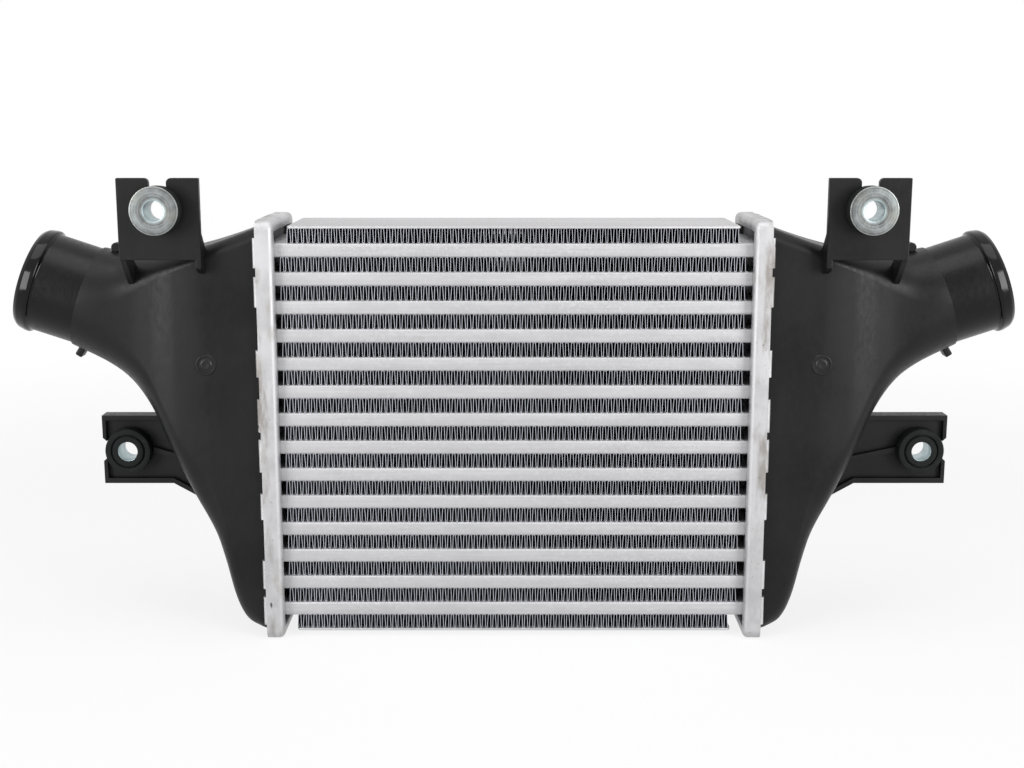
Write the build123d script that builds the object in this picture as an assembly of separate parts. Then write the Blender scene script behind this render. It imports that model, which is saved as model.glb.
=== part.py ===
"""Air-to-air charge cooler with crimped plastic end tanks, in millimetres, +Z up.

X runs across the core from the left tank to the right tank, and -Y is the side seen in the photo.
The origin is in the middle of the whole width and depth, level with the ends of the header plates
it stands on. The pieces are drawn about the middle plane of the core and moved by depth_shift when
they are written. Everything is built on the right (+X) side first; the left side is its mirror
image with a shorter lower arm.
"""
import os
from math import cos, hypot, radians, sin, tan

from build123d import *

os.makedirs("parts", exist_ok=True)

# Core
tube_count = 14
tube_height = 7.5
tube_wall = 0.6
nose_share = 0.4
fin_height = 7.7
core_depth = 62.0
core_width = 252.0
side_plate_thickness = 1.2
side_plate_gap = 6.5
fin_end_gap = 2.5
fin_waves = 8
fin_sheet = 0.4
turbulator_waves = 2
turbulator_sheet = 0.4

# Header plates and their crimp
header_thickness = 1.5
header_margin = 6.5
header_height = 229.2
header_corner = 5.0
header_bend = 1.6
web_recess = 4.0
trough_width = 3.1
tube_overhang = 1.5
foot_height = 3.5
gasket_thickness = 2.4
tab_shares = ((0.018, 0.174), (0.279, 0.404), (0.606, 0.744), (0.786, 0.922))
end_tab_half = 20.0

# End tanks
tank_wall = 2.6
tank_shoulder = 1.7
corner_steps = 5
spigot_diameter = 54.4
spigot_wall = 2.8
spigot_length = 32.8
spigot_tilt = 18.5
neck_step = 1.0
top_fall = 22.6
neck_reach = 107.2
neck_drop = 43.9
bead_height = 1.6
bead_land = 1.5
bead_length = 7.5

# Brackets and bushes
plate_thickness = 4.0
upper_plate_width = 42.6
upper_plate_height = 42.3
upper_plate_drop = 19.8
upper_bush_reach = 57.5
upper_bush_rise = 26.1
upper_plate_offset = 9.0
gusset_thickness = 3.2
lower_plate_height = 38.8
lower_bush_share = 0.435
lower_reach_left = 88.3
lower_reach_right = 100.3
edge_rib = 2.2
arm_root = 62.0
arm_knee = 42.5
arm_drop = 11.0
rib_thickness = 3.0
rib_depth = 3.0
slot_opening = 9.2
mouth_bevel = 2.0
bush_bore = 10.5
sleeve_wall = 1.4
flange_radius = 12.6
flange_thickness = 1.6
grommet_radius = 12.5
groove_radius = 8.9
rear_collar_radius = 12.4
front_collar = 8.4
rear_collar = 3.0
lip_thickness = 0.8
lip_overlap = 1.5
sleeve_reach = 0.5
nub_radius = 2.6
nub_length = 8.0
nub_back = 6.8
nub_rise = 2.7
lug_width = 4.0
lug_height = 5.5
lug_back = 4.5
fit_gap = 0.3

# Sizes that follow from the ones above
pitch = tube_height + fin_height
core_height = tube_count * tube_height + (tube_count + 1) * fin_height
half_height = header_height / 2
header_depth = core_depth + 2 * header_margin
half_depth = header_depth / 2
face_x = core_width / 2
side_plate_length = core_width - 2 * side_plate_gap
web_x = face_x + web_recess
web_back = web_x + header_thickness
foot_base = web_back + fit_gap
foot_top = foot_base + foot_height
rim_x = foot_top
trough_floor = face_x + header_thickness
lip_base = trough_floor + gasket_thickness
tube_end = web_back + tube_overhang
wall_inside = header_thickness
trough_inside = header_thickness + trough_width
leg_inside = trough_inside + header_thickness
lip_outside = wall_inside + fit_gap
lip_inside = trough_inside - fit_gap
shell_outside = lip_outside + tank_shoulder
tank_half_depth = half_depth - shell_outside
nose = tube_height / 2
neck_x = face_x + neck_reach
neck_z = header_height - neck_drop
upper_plate_bottom = header_height - upper_plate_drop
upper_bush_x = face_x + upper_bush_reach
upper_bush_z = upper_plate_bottom + upper_bush_rise
lower_bush_z = lower_bush_share * header_height
lower_bush_x_left = face_x + lower_reach_left
lower_bush_x_right = face_x + lower_reach_right


def tube_z(i):
    """Height of the middle of tube i, counted from the top."""
    return half_height + core_height / 2 - fin_height - nose - i * pitch


def pan_face(inset, x):
    """Outline of the header plate seen from the side, drawn in by inset, at the given x."""
    corner = max(header_corner - inset, 1.0)
    outline = RectangleRounded(header_depth - 2 * inset, header_height - 2 * inset, corner)
    return Plane(origin=(x, 0, half_height), x_dir=(0, 1, 0), z_dir=(1, 0, 0)) * outline


def pan_block(inset, x0, x1):
    """Solid between two x positions with the header outline drawn in by inset."""
    return extrude(pan_face(inset, x0), x1 - x0, dir=(1, 0, 0))


def bevelled_block(inset, x0, x1):
    """As pan_block, with bevelled corners, for the inner side of the trough."""
    outline = Rectangle(header_depth - 2 * inset, header_height - 2 * inset)
    outline = chamfer(outline.vertices(), max(header_corner - inset, 1.0))
    plane = Plane(origin=(x0, 0, half_height), x_dir=(0, 1, 0), z_dir=(1, 0, 0))
    return extrude(plane * outline, x1 - x0, dir=(1, 0, 0))


def zigzag(length, height, waves, sheet):
    """Folded sheet seen from its end: straight legs between two flat lines."""
    step = length / (2 * waves)
    run, rise = step, height - sheet
    off = sheet * hypot(run, rise) / run
    run_z = height / 2
    upper = [(-length / 2 + k * step, run_z if k % 2 else -run_z + off) for k in range(2 * waves + 1)]
    lower = [(x, z - off) for x, z in upper]
    return make_face(Polyline(*upper, *reversed(lower), close=True))


def nose_outline(gap):
    """Section of a flat tube with bevelled noses, its noses (not its flats) moved out by a gap."""
    tip = core_depth / 2 + gap
    bevel = nose * nose_share
    a, b = (tip - bevel, nose), (tip, nose - bevel)
    right = [a, b, (b[0], -b[1]), (a[0], -a[1])]
    left = [(-y, z) for y, z in reversed(right)]
    return make_face(Polyline(*right, *left, close=True))


def tube():
    """Flat extruded tube with bevelled noses, open at both ends."""
    plane = Plane(origin=(-tube_end, 0, 0), x_dir=(0, 1, 0), z_dir=(1, 0, 0))
    inside = Rectangle(core_depth - 2 * nose * nose_share, tube_height - 2 * tube_wall)
    return extrude(plane * (nose_outline(0) - inside), 2 * tube_end, dir=(1, 0, 0))


def turbulator():
    """Folded sheet inside one tube, its folds running with the air across the core."""
    width = core_depth - 2 * nose * nose_share - 2 * fit_gap
    plane = Plane(origin=(-face_x, 0, 0), x_dir=(0, 1, 0), z_dir=(1, 0, 0))
    wave = zigzag(width, tube_height - 2 * tube_wall, turbulator_waves, turbulator_sheet)
    return extrude(plane * wave, core_width, dir=(1, 0, 0))


def air_fin(length):
    """One row of folded cooling fin between two tubes."""
    wave = zigzag(length, fin_height, fin_waves, fin_sheet)
    return extrude(Plane.XZ * wave, core_depth / 2 - 1, both=True)


def tube_slot():
    """Cutter for one tube slot: touches the flats of the tube and clears its noses."""
    plane = Plane(origin=(face_x, 0, 0), x_dir=(0, 1, 0), z_dir=(1, 0, 0))
    return extrude(plane * nose_outline(fit_gap), rim_x - face_x, dir=(1, 0, 0))


def tab(along):
    """Crimp tab folded from the rim over the tank foot; y runs inwards from the rim wall, z along it."""
    body = Box(header_thickness, shell_outside - fit_gap, along[1] - along[0], align=(Align.MIN,) * 3)
    return Pos(rim_x, 0, along[0]) * body


def crimp_tabs():
    """All tabs of the right header plate, on its long sides and its two ends."""
    front = Plane(origin=(0, -half_depth, half_height), x_dir=(1, 0, 0), z_dir=(0, 0, 1))
    back = Plane(origin=(0, half_depth, half_height), x_dir=(1, 0, 0), z_dir=(0, 0, -1))
    top = Plane(origin=(0, 0, header_height), x_dir=(1, 0, 0), z_dir=(0, 1, 0))
    bottom = Plane(origin=(0, 0, 0), x_dir=(1, 0, 0), z_dir=(0, -1, 0))
    for low, high in ((half_height * a, half_height * b) for a, b in tab_shares):
        for plane in (front, back):
            yield plane * tab((low, high))
            yield plane * tab((-high, -low))
    for plane in (top, bottom):
        yield plane * tab((-end_tab_half, end_tab_half))


def header_plate():
    """Drawn aluminium pan: trough round the edge, recessed web with the tube slots, crimp tabs."""
    pan = pan_block(0, face_x, rim_x)
    pan -= bevelled_block(wall_inside, web_back, rim_x)
    trough = bevelled_block(wall_inside, trough_floor, rim_x)
    pan -= trough - bevelled_block(trough_inside, trough_floor, web_back)
    pan = chamfer(pan.edges().group_by(Axis.X)[0], header_bend)
    pan -= bevelled_block(leg_inside, face_x, web_x)
    slot = tube_slot()
    pan -= [Pos(0, 0, tube_z(i)) * slot for i in range(tube_count)]
    return pan + list(crimp_tabs())


def trough_ring(x0, x1):
    """Ring that fills the width of the trough between two x positions, clear of its walls."""
    return bevelled_block(lip_outside, x0, x1) - bevelled_block(lip_inside, x0, x1)


def gasket():
    """Square-section rubber ring in the trough under the tank foot."""
    return trough_ring(trough_floor, lip_base)


def section(top, bottom, half, top_corner, bottom_corner):
    """Closed outline across the tank between two points of its front view.

    The corners, given as (size along Y, size along the section), follow quarter ellipses in
    straight steps, which keeps the loft light.
    """
    height = hypot(top[0] - bottom[0], top[1] - bottom[1])
    up = ((top[0] - bottom[0]) / height, 0, (top[1] - bottom[1]) / height)
    plane = Plane(origin=(bottom[0], 0, bottom[1]), x_dir=(0, 1, 0), z_dir=(up[2], 0, -up[0]))
    corners = []
    for turn in (0, 90, 180, 270):
        side = 1 if turn in (0, 270) else -1
        cy, cz = top_corner if turn < 180 else bottom_corner
        level = height - cz if turn < 180 else cz
        corners.append(EllipticalCenterArc((side * (half - cy), level), cy, cz, turn))
    edges = []
    for corner, following in zip(corners, corners[1:] + corners[:1]):
        points = [corner @ (k / corner_steps) for k in range(corner_steps + 1)]
        edges += [Line(a, b) for a, b in zip(points, points[1:])]
        edges.append(Line(corner @ 1, following @ 0))
    return plane * make_face(edges)


def axis_point(along, off=0.0):
    """Point of the front view at a distance along the spigot axis and square to it."""
    turn = radians(spigot_tilt)
    return (neck_x + along * cos(turn) - off * sin(turn), neck_z + along * sin(turn) + off * cos(turn))


neck_radius = spigot_diameter / 2 + neck_step
foot_corner_top = (foot_top, header_height - shell_outside)
foot_corner_bottom = (foot_top, shell_outside)
neck_top = axis_point(0, neck_radius)
neck_bottom = axis_point(0, -neck_radius)

# Sections of the tank between foot and neck, one row each: place of the top point along the top line;
# share of the reach and of the rise of the bottom point; share of the way from the flat depth to the neck
# depth; top corner along Y and along the section; bottom corner along Y and along the section.
stations = (
    (0.00, 0.000, 0.000, 0.00, 7, 7, 7, 7),
    (0.04, 0.040, 0.006, 0.00, 7, 7, 8, 9),
    (0.10, 0.113, 0.034, 0.00, 7, 7, 9, 20),
    (0.17, 0.168, 0.107, 0.00, 7, 7, 10, 30),
    (0.24, 0.219, 0.245, 0.00, 8, 8, 11, 36),
    (0.31, 0.268, 0.350, 0.01, 9, 8, 12, 34),
    (0.40, 0.373, 0.485, 0.06, 11, 9, 15, 29),
    (0.49, 0.482, 0.635, 0.17, 14, 11, 18, 26),
    (0.58, 0.583, 0.781, 0.36, 18, 14, 21, 25),
    (0.69, 0.690, 0.879, 0.60, 22, 19, 24, 25),
    (0.82, 0.820, 0.942, 0.84, 25.5, 24.5, 26, 26),
    (1.00, 1.000, 1.000, 1.00, 27.5, 27.5, 27.5, 27.5),
)


def top_line(t):
    """Upper outline of the tank: falls from the header, then rises along the neck."""
    (x0, z0), (x2, z2) = foot_corner_top, neck_top
    slope_0, slope_2 = -tan(radians(top_fall)), tan(radians(spigot_tilt))
    x1 = (z2 - z0 + slope_0 * x0 - slope_2 * x2) / (slope_0 - slope_2)
    z1 = z0 + slope_0 * (x1 - x0)
    a, b, c = (1 - t) ** 2, 2 * t * (1 - t), t ** 2
    return a * x0 + b * x1 + c * x2, a * z0 + b * z1 + c * z2


def outlines():
    """Top and bottom points of every station in the front view."""
    (x0, z0), (x1, z1) = foot_corner_bottom, neck_bottom
    tops = [top_line(row[0]) for row in stations]
    bottoms = [(x0 + row[1] * (x1 - x0), z0 + row[2] * (z1 - z0)) for row in stations]
    return tops, bottoms


def slant(points, others, i):
    """How much longer a wall is along section i than square to the outline."""
    before, after = points[max(i - 1, 0)], points[min(i + 1, len(points) - 1)]
    run = (after[0] - before[0], after[1] - before[1])
    line = (others[i][0] - points[i][0], others[i][1] - points[i][1])
    cross = abs(run[0] * line[1] - run[1] * line[0]) / (hypot(*run) * hypot(*line))
    return 1 / cross


def tank_faces(inset):
    """Sections of the tank body at all stations, drawn in by a wall thickness."""
    tops, bottoms = outlines()
    flat, round_ = tank_half_depth, neck_radius
    faces = []
    for i, (_, _, _, share, ty, tz, by, bz) in enumerate(stations):
        top, bottom = tops[i], bottoms[i]
        length = hypot(top[0] - bottom[0], top[1] - bottom[1])
        ux, uz = (top[0] - bottom[0]) / length, (top[1] - bottom[1]) / length
        k_top, k_bottom = slant(tops, bottoms, i), slant(bottoms, tops, i)
        cut_top, cut_bottom = inset * k_top, inset * k_bottom
        top = (top[0] - ux * cut_top, top[1] - uz * cut_top)
        bottom = (bottom[0] + ux * cut_bottom, bottom[1] + uz * cut_bottom)
        half = flat + share * (round_ - flat) - inset
        limit = round_ / 28.5
        corner_top = (max(ty * limit - inset, 2), max(tz * limit - cut_top, 2))
        corner_bottom = (max(by * limit - inset, 2), max(bz * limit - cut_bottom, 2))
        faces.append(section(top, bottom, half, corner_top, corner_bottom))
    return faces


def turned(profile, axis_plane):
    """Ring or sleeve turned about the local Y axis from (radius, position) points."""
    return axis_plane * revolve(make_face(Polyline(*profile, close=True)), Axis.Y)


def spigot():
    """Hose connection with its bead, and the bore cutter that opens it into the tank."""
    radius = spigot_diameter / 2
    crest = radius + bead_height
    start = spigot_length - bead_length
    profile = [
        (0, -bead_length), (radius, -bead_length), (radius, start - bead_height), (crest, start),
        (crest, start + bead_land), (radius - bead_height / 2, spigot_length), (0, spigot_length),
    ]
    turn = radians(spigot_tilt)
    plane = Plane(origin=(neck_x, 0, neck_z), x_dir=(-sin(turn), 0, cos(turn)), z_dir=(0, 1, 0))
    bore = Plane(origin=(neck_x, 0, neck_z), z_dir=(cos(turn), 0, sin(turn)))
    cutter = Pos(0, 0, -neck_step) * Cylinder(
        radius - spigot_wall, spigot_length + 2 * neck_step, align=(Align.CENTER, Align.CENTER, Align.MIN)
    )
    return turned(profile, plane), bore * cutter


def front_plane(y):
    """Drawing plane of the front view at a given y: x to the right, z up, extruding to the back."""
    return Plane(origin=(0, y, 0), x_dir=(1, 0, 0), z_dir=(0, -1, 0))


def thick(sketch, y, depth):
    """Front-view sketch made solid from y towards the back."""
    return front_plane(y) * extrude(sketch, -depth)


def side_polygon(points, x, thickness):
    """Solid from (y, z) points, its thickness along x from the given x."""
    plane = Plane(origin=(x, 0, 0), x_dir=(0, 1, 0), z_dir=(1, 0, 0))
    return extrude(plane * make_face(Polyline(*points, close=True)), thickness, dir=(1, 0, 0))


upper_front = -tank_half_depth - upper_plate_offset
upper_back = upper_front + plate_thickness
lower_front = -plate_thickness / 2
lower_back = plate_thickness / 2


def bush_hole():
    """Many-sided hole that the groove of a bush sits in, hidden under its collars."""
    return RegularPolygon(groove_radius + fit_gap, 12, major_radius=False)


def upper_bracket():
    """Plate standing in front of the tank on two gussets, slotted from its top edge."""
    top = upper_plate_bottom + upper_plate_height
    middle = upper_plate_bottom + upper_plate_height / 2
    left, right = upper_bush_x - upper_plate_width / 2, upper_bush_x + upper_plate_width / 2
    outline = Pos(upper_bush_x, middle) * Rectangle(upper_plate_width, upper_plate_height)
    outline -= Pos(upper_bush_x, upper_bush_z) * bush_hole()
    rise = top - upper_bush_z
    outline -= Pos(upper_bush_x, upper_bush_z + rise / 2) * Rectangle(slot_opening, rise)
    mouth = [v for v in outline.vertices() if v.Y > top - 0.1 and abs(v.X - upper_bush_x) < slot_opening]
    plate = thick(chamfer(mouth, mouth_bevel), upper_front, plate_thickness)
    low, wall = upper_plate_bottom, -tank_half_depth
    inner = [
        (upper_front, top), (upper_back, top), (upper_back, low + 14), (wall + 6, low + 3),
        (wall + 6, low - 12), (wall, low - 8), (upper_front + 2, low - 6), (upper_front, low - 4),
    ]
    outer = [
        (upper_front, top), (upper_back, top), (upper_back, low + 9), (wall + 14, low - 5),
        (wall + 14, low - 16), (wall + 6, low - 14), (upper_front + 5, low - 4), (upper_front, low + 3),
    ]
    plate += side_polygon(inner, left, gusset_thickness)
    plate += side_polygon(outer, right - gusset_thickness, gusset_thickness)
    return plate


def lower_bracket(bush_x):
    """Arm at mid depth, ribbed round its edge, slotted from its outer end."""
    reach = grommet_radius + fit_gap + edge_rib
    edge, beside = bush_x + reach, bush_x - grommet_radius - fit_gap
    low, high = lower_bush_z - lower_plate_height / 2, lower_bush_z + lower_plate_height / 2
    inner_low, inner_high = low + rib_thickness, high - rib_thickness
    root, knee, drop = neck_x - arm_root, neck_x - arm_knee, arm_drop
    outline = make_face(
        Polyline((edge, low), (edge, high), (root, high), (root, low - drop), (knee, low), close=True)
    )
    inside = make_face(
        Polyline((edge - edge_rib, inner_low), (edge - edge_rib, inner_high), (root, inner_high),
                 (root, inner_low - drop), (knee, inner_low), close=True)
    )
    half_rib = rib_thickness / 2
    brace = make_face(
        Polyline((root, inner_low + 2 * rib_thickness), (root, inner_low + 3 * rib_thickness),
                 (beside, lower_bush_z + half_rib), (beside, lower_bush_z - half_rib), close=True)
    )
    arm = thick(outline, lower_front, plate_thickness)
    for piece in (outline - inside, brace):
        arm += thick(piece, lower_front - rib_depth, plate_thickness + 2 * rib_depth)
    hole = Pos(bush_x, lower_bush_z) * bush_hole()
    slot = Pos(bush_x + reach / 2, lower_bush_z) * Rectangle(reach, slot_opening)
    ends = (lower_front - rib_depth - 1, plate_thickness + 2 * rib_depth + 2)
    arm -= thick(hole, *ends)
    arm -= thick(slot, *ends)
    mouth = [
        e for e in arm.edges().filter_by(Axis.Y)
        if e.center().X > edge - 0.1 and abs(e.center().Z - lower_bush_z) < slot_opening
    ]
    return chamfer(mouth, mouth_bevel)


def tank(bush_x):
    """Moulded end tank with foot, hose spigot, both brackets, a rest nub and a stop lug."""
    body = loft(tank_faces(0), ruled=True)
    tube_part, bore = spigot()
    nub_x, nub_z = axis_point(-nub_back, neck_radius + nub_rise)
    stem = Rot(0, 0, spigot_tilt) * Pos(0, -nub_rise / 2) * Rectangle(nub_radius, nub_rise + 2)
    nub = thick(Pos(nub_x, nub_z) * (RegularPolygon(nub_radius, 8) + stem), -nub_length / 2, nub_length)
    lug_x, lug_z = axis_point(-lug_back, -neck_radius)
    lug = Pos(lug_x, 0, lug_z) * Rot(0, -spigot_tilt - 14, 0) * Box(lug_width, nub_length, 2 * lug_height)
    foot = bevelled_block(lip_outside, foot_base, foot_top)
    body += [tube_part, foot, upper_bracket(), lower_bracket(bush_x), nub, lug]
    inner = tank_faces(tank_wall)
    open_foot = extrude(inner[0], foot_top - foot_base + 1, dir=(-1, 0, 0))
    body -= [loft(inner, ruled=True), open_foot, bore]
    return body + trough_ring(lip_base, foot_base)


def bush_plane(x, y, z):
    """Place for a turned bush piece: local Y runs along the bore to the back."""
    return Plane(origin=(x, y, z), x_dir=(1, 0, 0), z_dir=(0, 0, 1))


sleeve_radius = bush_bore / 2 + sleeve_wall
grommet_bore = sleeve_radius + fit_gap
upper_length = flange_thickness + front_collar + plate_thickness + rear_collar + sleeve_reach
lower_length = front_collar - lip_thickness + plate_thickness + rear_collar + sleeve_reach
front_end = upper_front - front_collar - flange_thickness


def grommet(x, z, front, lip):
    """Rubber bush in two collars, with the plate that carries it in the groove between them.

    Its bore and its groove are hidden, so they are twelve-sided. A lip in front may cover the sleeve.
    """
    bore = RegularPolygon(grommet_bore, 12, major_radius=False)
    groove = RegularPolygon(groove_radius, 12, major_radius=False)
    collar, rear = Circle(grommet_radius), Circle(rear_collar_radius)
    start, seat, back = front - front_collar, front - front_collar + lip, front + plate_thickness
    layers = [(collar - bore, seat, front_collar - lip), (groove - bore, front, plate_thickness),
              (rear - bore, back, rear_collar)]
    if lip:
        layers.append((collar - Circle(grommet_bore - lip_overlap), start, lip))
    first, *others = [thick(Pos(x, z) * sketch, y, depth) for sketch, y, depth in layers]
    return first + others


def upper_sleeve():
    """Steel sleeve with a wide flange in front."""
    radius = bush_bore / 2
    profile = [
        (radius, 0), (flange_radius, 0), (flange_radius, flange_thickness), (sleeve_radius, flange_thickness),
        (sleeve_radius, upper_length), (radius, upper_length),
    ]
    return turned(profile, bush_plane(upper_bush_x, front_end, upper_bush_z))


def lower_sleeve(bush_x):
    """Plain steel sleeve behind the lip of its rubber bush."""
    radius = bush_bore / 2
    profile = [(radius, 0), (sleeve_radius, 0), (sleeve_radius, lower_length), (radius, lower_length)]
    return turned(profile, bush_plane(bush_x, lower_front - front_collar + lip_thickness, lower_bush_z))


def side_plate():
    """Flat sheet that closes the core above its first and below its last fin row."""
    sheet = Rectangle(side_plate_length, core_depth)
    return extrude(chamfer(sheet.vertices(), 2), side_plate_thickness)


depth_shift = -(front_end + half_depth) / 2


def write(shape, name):
    """Save one piece, moved so that the middle of the whole depth lies at Y = 0."""
    shape = Pos(0, depth_shift, 0) * shape
    shape.label = name
    export_step(shape, f"parts/{name}.step")


def both_sides(shape, name):
    """Write a right-hand piece and its mirror image."""
    write(shape, f"right_{name}")
    write(mirror(shape, about=Plane.YZ), f"left_{name}")


for i in range(tube_count):
    write(Pos(0, 0, tube_z(i)) * tube(), f"tube_{i + 1:02d}")
    write(Pos(0, 0, tube_z(i)) * turbulator(), f"turbulator_{i + 1:02d}")
inner_fin_length = core_width - 2 * fin_end_gap
for i in range(tube_count + 1):
    length = side_plate_length if i in (0, tube_count) else inner_fin_length
    write(Pos(0, 0, tube_z(i) + pitch / 2) * air_fin(length), f"air_fin_{i + 1:02d}")
core_top, core_bottom = half_height + core_height / 2, half_height - core_height / 2
write(Pos(0, 0, core_top) * side_plate(), "top_side_plate")
write(Pos(0, 0, core_bottom - side_plate_thickness) * side_plate(), "bottom_side_plate")

both_sides(header_plate(), "header_plate")
both_sides(gasket(), "gasket")
write(tank(lower_bush_x_right), "right_tank")
write(mirror(tank(lower_bush_x_left), about=Plane.YZ), "left_tank")
both_sides(grommet(upper_bush_x, upper_bush_z, upper_front, 0), "upper_grommet")
both_sides(upper_sleeve(), "upper_sleeve")
for side, bush_x in (("right", lower_bush_x_right), ("left", lower_bush_x_left)):
    rubber = grommet(bush_x, lower_bush_z, lower_front, lip_thickness)
    metal = lower_sleeve(bush_x)
    if side == "left":
        rubber, metal = mirror(rubber, about=Plane.YZ), mirror(metal, about=Plane.YZ)
    write(rubber, f"{side}_lower_grommet")
    write(metal, f"{side}_lower_sleeve")
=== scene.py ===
from math import atan2, cos, hypot, pi, radians, sin, sqrt, tan

import bmesh
import bpy
from mathutils import Matrix, Vector


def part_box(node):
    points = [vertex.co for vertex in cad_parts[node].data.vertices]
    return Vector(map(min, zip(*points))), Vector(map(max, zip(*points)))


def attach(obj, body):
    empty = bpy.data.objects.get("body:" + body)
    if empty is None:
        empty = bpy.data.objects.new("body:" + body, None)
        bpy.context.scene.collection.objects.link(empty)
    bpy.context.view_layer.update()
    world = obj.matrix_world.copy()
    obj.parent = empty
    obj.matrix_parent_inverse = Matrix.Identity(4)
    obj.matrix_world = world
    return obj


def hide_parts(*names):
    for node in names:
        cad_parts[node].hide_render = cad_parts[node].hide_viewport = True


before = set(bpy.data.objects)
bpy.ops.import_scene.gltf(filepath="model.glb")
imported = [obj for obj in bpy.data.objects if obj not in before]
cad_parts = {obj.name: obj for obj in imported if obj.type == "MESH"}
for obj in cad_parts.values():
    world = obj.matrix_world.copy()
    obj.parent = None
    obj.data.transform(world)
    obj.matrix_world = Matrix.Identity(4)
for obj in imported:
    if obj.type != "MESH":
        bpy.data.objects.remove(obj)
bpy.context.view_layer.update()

bl_info = {
    "name": "Intercooler looks",
    "version": (1, 0, 0),
    "blender": (4, 5, 0),
    "location": "View3D > Sidebar > Intercooler",
    "description": "Fine fins, rounded edges and procedural finishes for the packed intercooler",
    "category": "Object",
}

MM = 0.001
SIDES = (("left", -1), ("right", 1))
SPIGOT_TILT = radians(18.5)
NECK_X, NECK_Z = 233.2 * MM, 185.3 * MM
header_low, header_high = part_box("right_header_plate")
MIDDLE_Y = (header_low.y + header_high.y) / 2
fin_low, fin_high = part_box("air_fin_08")
CORE_HALF = (fin_high.y - fin_low.y) / 2


# Sizes and colours that a user would change

class FinSizes(bpy.types.PropertyGroup):
    """The folded air fins between the tubes."""
    period: bpy.props.FloatProperty(
        name="Period", description="Length of one fold of the fin", default=2.9 * MM, unit="LENGTH")
    crest: bpy.props.FloatProperty(
        name="Crest", description="Width of each crest that touches a tube", default=1.1 * MM, unit="LENGTH")
    rounding: bpy.props.FloatProperty(
        name="Rounding", description="Radius at the crests", default=0.54 * MM, unit="LENGTH")
    sheet: bpy.props.FloatProperty(
        name="Sheet", description="Thickness of the fin sheet", default=0.22 * MM, unit="LENGTH")
    louvre: bpy.props.FloatProperty(
        name="Louvre", description="Sideways step of the louvred legs", default=1.2 * MM, unit="LENGTH")


class TubeSizes(bpy.types.PropertyGroup):
    """The flat extruded tubes."""
    nose_radius: bpy.props.FloatProperty(
        name="Nose radius", description="Rounding of the tube noses", default=1.1 * MM, unit="LENGTH")
    wall: bpy.props.FloatProperty(
        name="Wall", description="Thickness of the tube wall", default=0.6 * MM, unit="LENGTH")


class HeaderSizes(bpy.types.PropertyGroup):
    """The drawn header plates and their crimp tabs."""
    corner: bpy.props.FloatProperty(
        name="Corner", description="Radius of the plate's corners", default=5 * MM, unit="LENGTH")
    bend: bpy.props.FloatProperty(
        name="Bend", description="Radius of the drawn edge", default=3.0 * MM, unit="LENGTH")
    sheet: bpy.props.FloatProperty(
        name="Sheet", description="Thickness of the plate", default=1.5 * MM, unit="LENGTH")
    tab_fold: bpy.props.FloatProperty(
        name="Tab fold", description="Radius of the crimped tabs", default=1.3 * MM, unit="LENGTH")


class TankSizes(bpy.types.PropertyGroup):
    """The moulded end tanks."""
    edge: bpy.props.FloatProperty(
        name="Edge", description="Rounding of the moulded edges", default=0.5 * MM, unit="LENGTH")
    mouth: bpy.props.FloatProperty(
        name="Mouth", description="Rounding of the slot mouths", default=2.5 * MM, unit="LENGTH")
    gate_radius: bpy.props.FloatProperty(
        name="Gate radius", description="Radius of the moulding gate mark", default=5.7 * MM, unit="LENGTH")


class Finishes(bpy.types.PropertyGroup):
    """Colours of the plastic, the rubber and the metals."""
    plastic: bpy.props.FloatVectorProperty(
        name="Plastic", description="Colour of the moulded tanks", default=(0.0034, 0.0034, 0.0038),
        subtype="COLOR", min=0, max=1)
    rubber: bpy.props.FloatVectorProperty(
        name="Rubber", description="Colour of the rubber bushes", default=(0.009, 0.010, 0.010),
        subtype="COLOR", min=0, max=1)
    bright_aluminium: bpy.props.FloatVectorProperty(
        name="Bright aluminium", description="Colour of tubes and header plates",
        default=(0.465, 0.463, 0.472), subtype="COLOR", min=0, max=1)
    fin_aluminium: bpy.props.FloatVectorProperty(
        name="Fin aluminium", description="Colour of the folded fins", default=(0.68, 0.695, 0.755),
        subtype="COLOR", min=0, max=1)
    zinc: bpy.props.FloatVectorProperty(
        name="Zinc", description="Colour of the plated sleeves", default=(0.166, 0.176, 0.178),
        subtype="COLOR", min=0, max=1)


class StageSettings(bpy.types.PropertyGroup):
    """Camera and light."""
    lens: bpy.props.FloatProperty(
        name="Lens", description="Focal length on a 36 mm wide sensor", default=50.73)
    camera_y: bpy.props.FloatProperty(
        name="Distance", description="Camera distance in front of the core", default=0.790, unit="LENGTH")
    camera_z: bpy.props.FloatProperty(
        name="Height", description="Camera height", default=0.286, unit="LENGTH")
    pitch: bpy.props.FloatProperty(
        name="Pitch", description="How far the camera looks down", default=radians(10.75), subtype="ANGLE")
    key_power: bpy.props.FloatProperty(
        name="Key power", description="Power of the soft lamps, in watts", default=11.8)
    ambient: bpy.props.FloatProperty(
        name="Ambient", description="Brightness of the surroundings", default=0.27)


# Small helpers for materials

def new_node(tree, kind, inputs=(), **settings):
    """Add a node, with each input linked to a socket or set to a value."""
    made = tree.nodes.new(kind)
    for key, value in settings.items():
        setattr(made, key, value)
    for key, value in dict(inputs).items():
        if isinstance(value, bpy.types.NodeSocket):
            tree.links.new(value, made.inputs[key])
        else:
            made.inputs[key].default_value = value
    return made


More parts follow.
